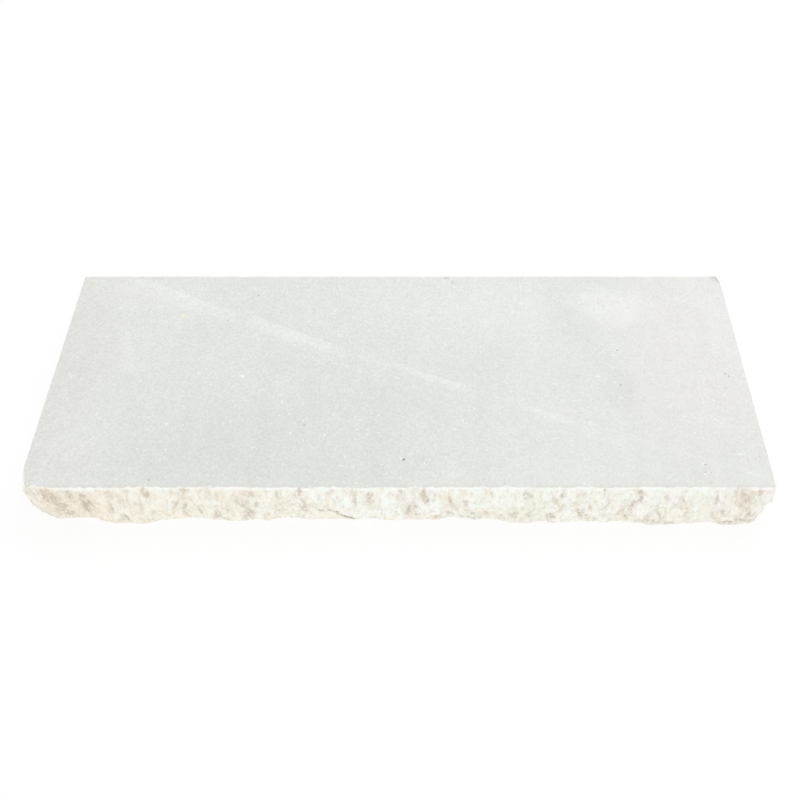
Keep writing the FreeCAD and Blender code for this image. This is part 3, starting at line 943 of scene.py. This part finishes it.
def split_colour(tree, place, strayed):
    """Cream of the broken face: pale crushed grains, stains, painted shade in hollows, crack and grain, and
    painted light by height and on the scar.
    """
    hollow, stain, bruise, smooth = (tree.value_of(name) for name in ("hollow", "stain", "bruise", "smooth"))
    x, places = tree.axis(place, "X"), [row[0] for row in BREAK_TONES]
    ground, tan, pale = (
        tree.ramp(x, tuple(zip(places, [linear(*row[column]) for row in BREAK_TONES])))
        for column in (1, 2, 3)
    )
    wide = tree.between(tree.noise(strayed, 5.0, 3.0, 0.6, UPRIGHT), 0.38, 0.62, 0.0, 0.66)
    colour = tree.blend(wide, ground, tan)
    crushed = tree.between(tree.noise(strayed, 1.9, 2.0, 0.6, UPRIGHT), 0.48, 0.62)
    grains = tree.product(crushed, tree.line(bruise, 0.6, 0.4))
    colour = tree.blend(grains, colour, pale)
    colour = tree.tint(colour, BRUISE_TONE, tree.maths("MINIMUM", bruise, 1.0), 0.42)
    colour = tree.tint(colour, SMOOTH_TONE, smooth, 0.45)
    rough = tree.line(smooth, -0.75, 1.0)
    speckle = tree.between(tree.noise(strayed, 1.5, 2.0, 0.6, UPRIGHT), 0.28, 0.53, 1.0, 0.0)
    unbruised = tree.line(bruise, -0.3, 0.75)
    colour = tree.tint(colour, SPECKLE_TONE, speckle, unbruised, rough)
    # Painted shadows: small dark specks stand for the shade between the grains
    grain_shadows = tree.between(tree.noise(strayed, 1.1, 1.0, 0.5, UPRIGHT), 0.24, 0.36, 0.42, 0.0)
    colour = tree.tint(colour, GRAIN_SHADOW_TONE, grain_shadows, rough)
    broken = tree.between(tree.noise(strayed, 1.2, 2.0, 0.6, UPRIGHT), 0.36, 0.54, 0.12, 1.0)
    # Brown of stains, with painted shade where the stone lies hollower than round about
    stain_and_shade_share = tree.line(tree.between(hollow, 0.1, 0.9), 0.4, stain)
    stain_and_shade_share = tree.maths("MINIMUM", tree.product(stain_and_shade_share, broken), 1.0)
    greyer = tree.between(tree.noise(place, 10.0), 0.35, 0.65)
    brown = tree.blend(greyer, *(linear(*tone) for tone in BROWN_TONES))
    colour = tree.blend(tree.product(stain_and_shade_share, 0.82), colour, brown)
    # Painted shade: the crack is painted dark where it gapes
    colour = tree.tint(colour, CRACK_SHADE_TONE, tree.between(stain, 1.3, 1.8, 0.0, 0.7))
    # Painted light on the spall scar, on top of its own pale colour
    colour = tree.tint(colour, SCAR_AND_PAINTED_LIGHT_TONE, tree.between(bruise, 1.1, 0.9 * SCAR_AND_LIGHT_LEVEL))
    # Painted light and shade: the break is painted lighter near the bed and darker near the top, to even out
    # the stronger light its upper part catches from above
    painted_light_by_height = tree.between(tree.axis(place, "Z"), 5.0 * MM, 42.0 * MM, 1.02, 0.965)
    return tree.scaled(colour, painted_light_by_height)


def crushed_band(tree, place, split, colour):
    """The band of white crushed stone that the chisel's blow leaves under the struck edge."""
    crushed = tree.ramp(tree.axis(place, "X"), CRUSHED_BAND)
    ragged = tree.line(tree.noise(place, 3.0, 3.0, 0.7), 3.0 * MM, -1.5 * MM)
    depth = tree.maths("SUBTRACT", TOP * MM, tree.maths("ADD", tree.axis(place, "Z"), ragged))
    reach = tree.line(crushed, 2.6 * MM, 1.8 * MM)
    band = tree.between(depth, 1.0 * MM, reach, 1.0, 0.0)
    below_edge = tree.between(depth, -0.6 * MM, 0.9 * MM, 0.3, 1.0)
    clean = tree.between(tree.value_of("stain"), 0.0, 0.5, 1.0, 0.1)
    patchy = tree.between(tree.noise(place, 4.0, 3.0, 0.65, TALL), 0.36, 0.56, 0.6, 1.0)
    strength = tree.product(patchy, tree.line(crushed, 0.6, 0.4))
    return tree.tint(colour, CRUSHED_TONE, band, split, below_edge, clean, strength)


def limestone():
    """Pale limestone, sawn or split according to the stone's own values."""
    material = bpy.data.materials.new("pale_limestone")
    tree = Tree(material)
    place = tree.add("TexCoord", {}, output="Object")
    split = tree.value_of("split")
    strayed = tree.strayed(place, 4.0, 1.6)
    colour = tree.blend(split, sawn_colour(tree, place), split_colour(tree, place, strayed))
    colour = crushed_band(tree, place, split, colour)

    # Painted shade: a patchy strip of the top just behind the struck edge is painted a little darker
    edge_shade_span = ((PITCH_LINE + back) * MM for back in EDGE_SHADE_REACH)
    near_edge = tree.between(tree.axis(place, "Y"), *edge_shade_span, 0.5, 0.0)
    patchy = tree.between(tree.noise(place, 4.0, 2.0), 0.35, 0.6, 0.3, 1.0)
    colour = tree.tint(colour, EDGE_SHADE_TONE, near_edge, patchy, tree.maths("SUBTRACT", 1.0, split))
    # Painted shade: each pit of the top is painted darker the deeper it goes
    colour = tree.tint(colour, PIT_SHADE_TONE, tree.value_of("pit"), 0.75)

    fine = tree.bump(tree.noise(place, 1.1, 2.0, 0.5, SAWN_GRAIN_STRETCH), 0.3, 0.35)
    rough = tree.bump(tree.noise(strayed, 1.4, 3.0, 0.65, UPRIGHT), 0.45, 0.8)
    normal = tree.add("Mix", {0: split, 4: fine, 5: rough}, data_type="VECTOR", output=1)
    dull = tree.between(tree.noise(place, 3.0), 0.3, 0.7, 0.78, 0.92)
    inputs = {"Base Color": colour, "Roughness": dull, "Normal": normal, "Specular IOR Level": 0.3}
    shader = tree.add("BsdfPrincipled", inputs)
    tree.node("OutputMaterial", {"Surface": shader})
    return material


# Studio

FLOOR_SIZE = 12.0
CAMERA_PLACE = (0.0233, -0.6378, 0.7215)  # the studio's places and sizes are in metres
CAMERA_PITCH = 47.97  # degrees below level
CAMERA_LENS = 47.95
CAMERA_SHIFT = -0.0331
WORLD_STRENGTH = 0.785
LAMPS = (  # name, place, width, watts
    ("key_lamp", (0.7, 0.7, 1.8), 1.1, 6.5),
    ("front_lamp", (-0.3, -2.2, 0.3), 1.2, 17.0),
    ("back_lamp", (0.0, 2.2, 1.5), 1.4, 5.0),
)
FLOOR_PAPER = 0.86  # its grey, under the light that it shows to the camera
FLOOR_GLOW = 1.04
FLOOR_GLOW_SHARE = 0.82


def add_lamp(name, place, size, power):
    data = bpy.data.lights.new(name, "AREA")
    data.shape = "DISK"
    data.size = size
    data.energy = power
    lamp = placed(name, data)
    lamp.location = place
    lamp.rotation_euler = (-Vector(place)).to_track_quat("-Z", "Y").to_euler()


def add_camera():
    data = bpy.data.cameras.new("camera")
    data.lens = CAMERA_LENS
    data.shift_x = CAMERA_SHIFT
    camera = placed("camera", data)
    camera.location = CAMERA_PLACE
    camera.rotation_euler = (math.radians(90.0 - CAMERA_PITCH), 0.0, 0.0)
    bpy.context.scene.camera = camera


def add_floor():
    """White floor that shows the stone's faint shadow and little else."""
    half = 0.5 * FLOOR_SIZE
    mesh = bpy.data.meshes.new("studio_floor")
    corners = [(-half, -half, 0), (half, -half, 0), (half, half, 0), (-half, half, 0)]
    mesh.from_pydata(corners, [], [(0, 1, 2, 3)])
    material = bpy.data.materials.new("white_floor")
    tree = Tree(material)
    grey = (FLOOR_PAPER, FLOOR_PAPER, FLOOR_PAPER, 1.0)
    paper = tree.add("BsdfDiffuse", {"Color": grey})
    white = tree.add("Emission", {"Strength": FLOOR_GLOW})
    camera_ray = tree.add("LightPath", {}, output="Is Camera Ray")
    share = tree.product(camera_ray, FLOOR_GLOW_SHARE)
    surface = tree.add("MixShader", {0: share, 1: paper, 2: white})
    tree.node("OutputMaterial", {"Surface": surface})
    mesh.materials.append(material)
    floor = placed("studio_floor", mesh)


def add_world():
    world = bpy.data.worlds.new("studio")
    tree = Tree(world)
    camera_ray = tree.add("LightPath", {}, output="Is Camera Ray")
    inputs = {"Value": camera_ray, "To Min": WORLD_STRENGTH, "To Max": 1.0}
    strength = tree.add("MapRange", inputs)
    inputs = {"Color": (1.0, 1.0, 1.0, 1.0), "Strength": strength}
    white = tree.add("Background", inputs)
    tree.node("OutputWorld", {"Surface": white})
    bpy.context.scene.world = world


def add_studio():
    add_camera()
    add_floor()
    add_world()
    for lamp in LAMPS:
        add_lamp(*lamp)
    bpy.context.scene.view_settings.view_transform = "Standard"


stone = stone_object()
stone.data.materials.append(limestone())
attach(stone, "root")
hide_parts(NODE)
add_studio()
